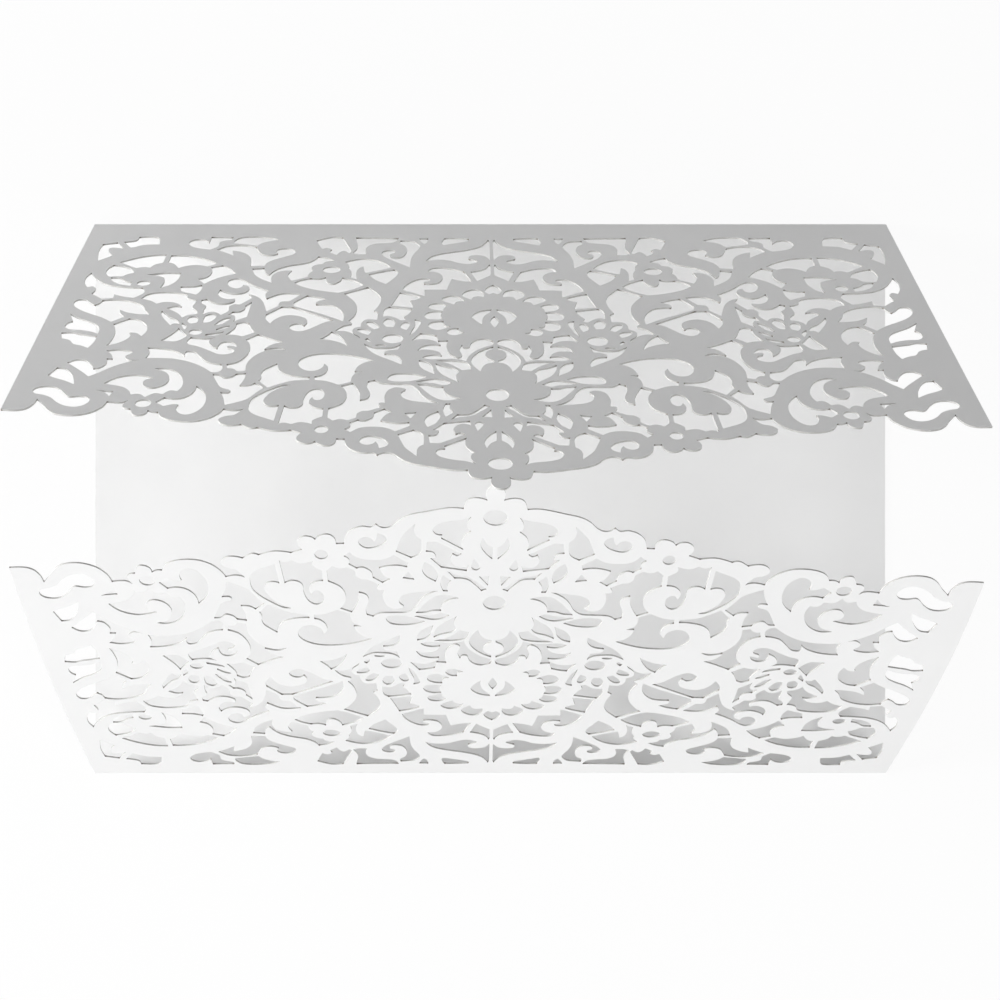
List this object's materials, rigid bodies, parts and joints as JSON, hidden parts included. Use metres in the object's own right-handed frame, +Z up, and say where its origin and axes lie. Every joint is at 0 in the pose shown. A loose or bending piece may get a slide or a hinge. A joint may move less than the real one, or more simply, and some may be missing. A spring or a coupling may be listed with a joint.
{
  "type": "laser cut gatefold invitation",
  "caption": "Invitation folded from one sheet of white card: a plain back panel with laser cut lace flaps standing up from its long sides and leaning inward over it.",
  "frame": {"origin": "centre of the overall box at the underside of the back panel", "axes": "+X along the two folds, +Y across the panel towards the straight flap, +Z up away from the surface it lies on"},
  "size_m": [0.1846, 0.1276, 0.0905],
  "materials": {
    "white_card": "matt, faintly fibrous, with darker cut edges"
  },
  "bodies": {
    "root": {"lace_cut_sheet": "white_card"}
  },
  "joints": []
}
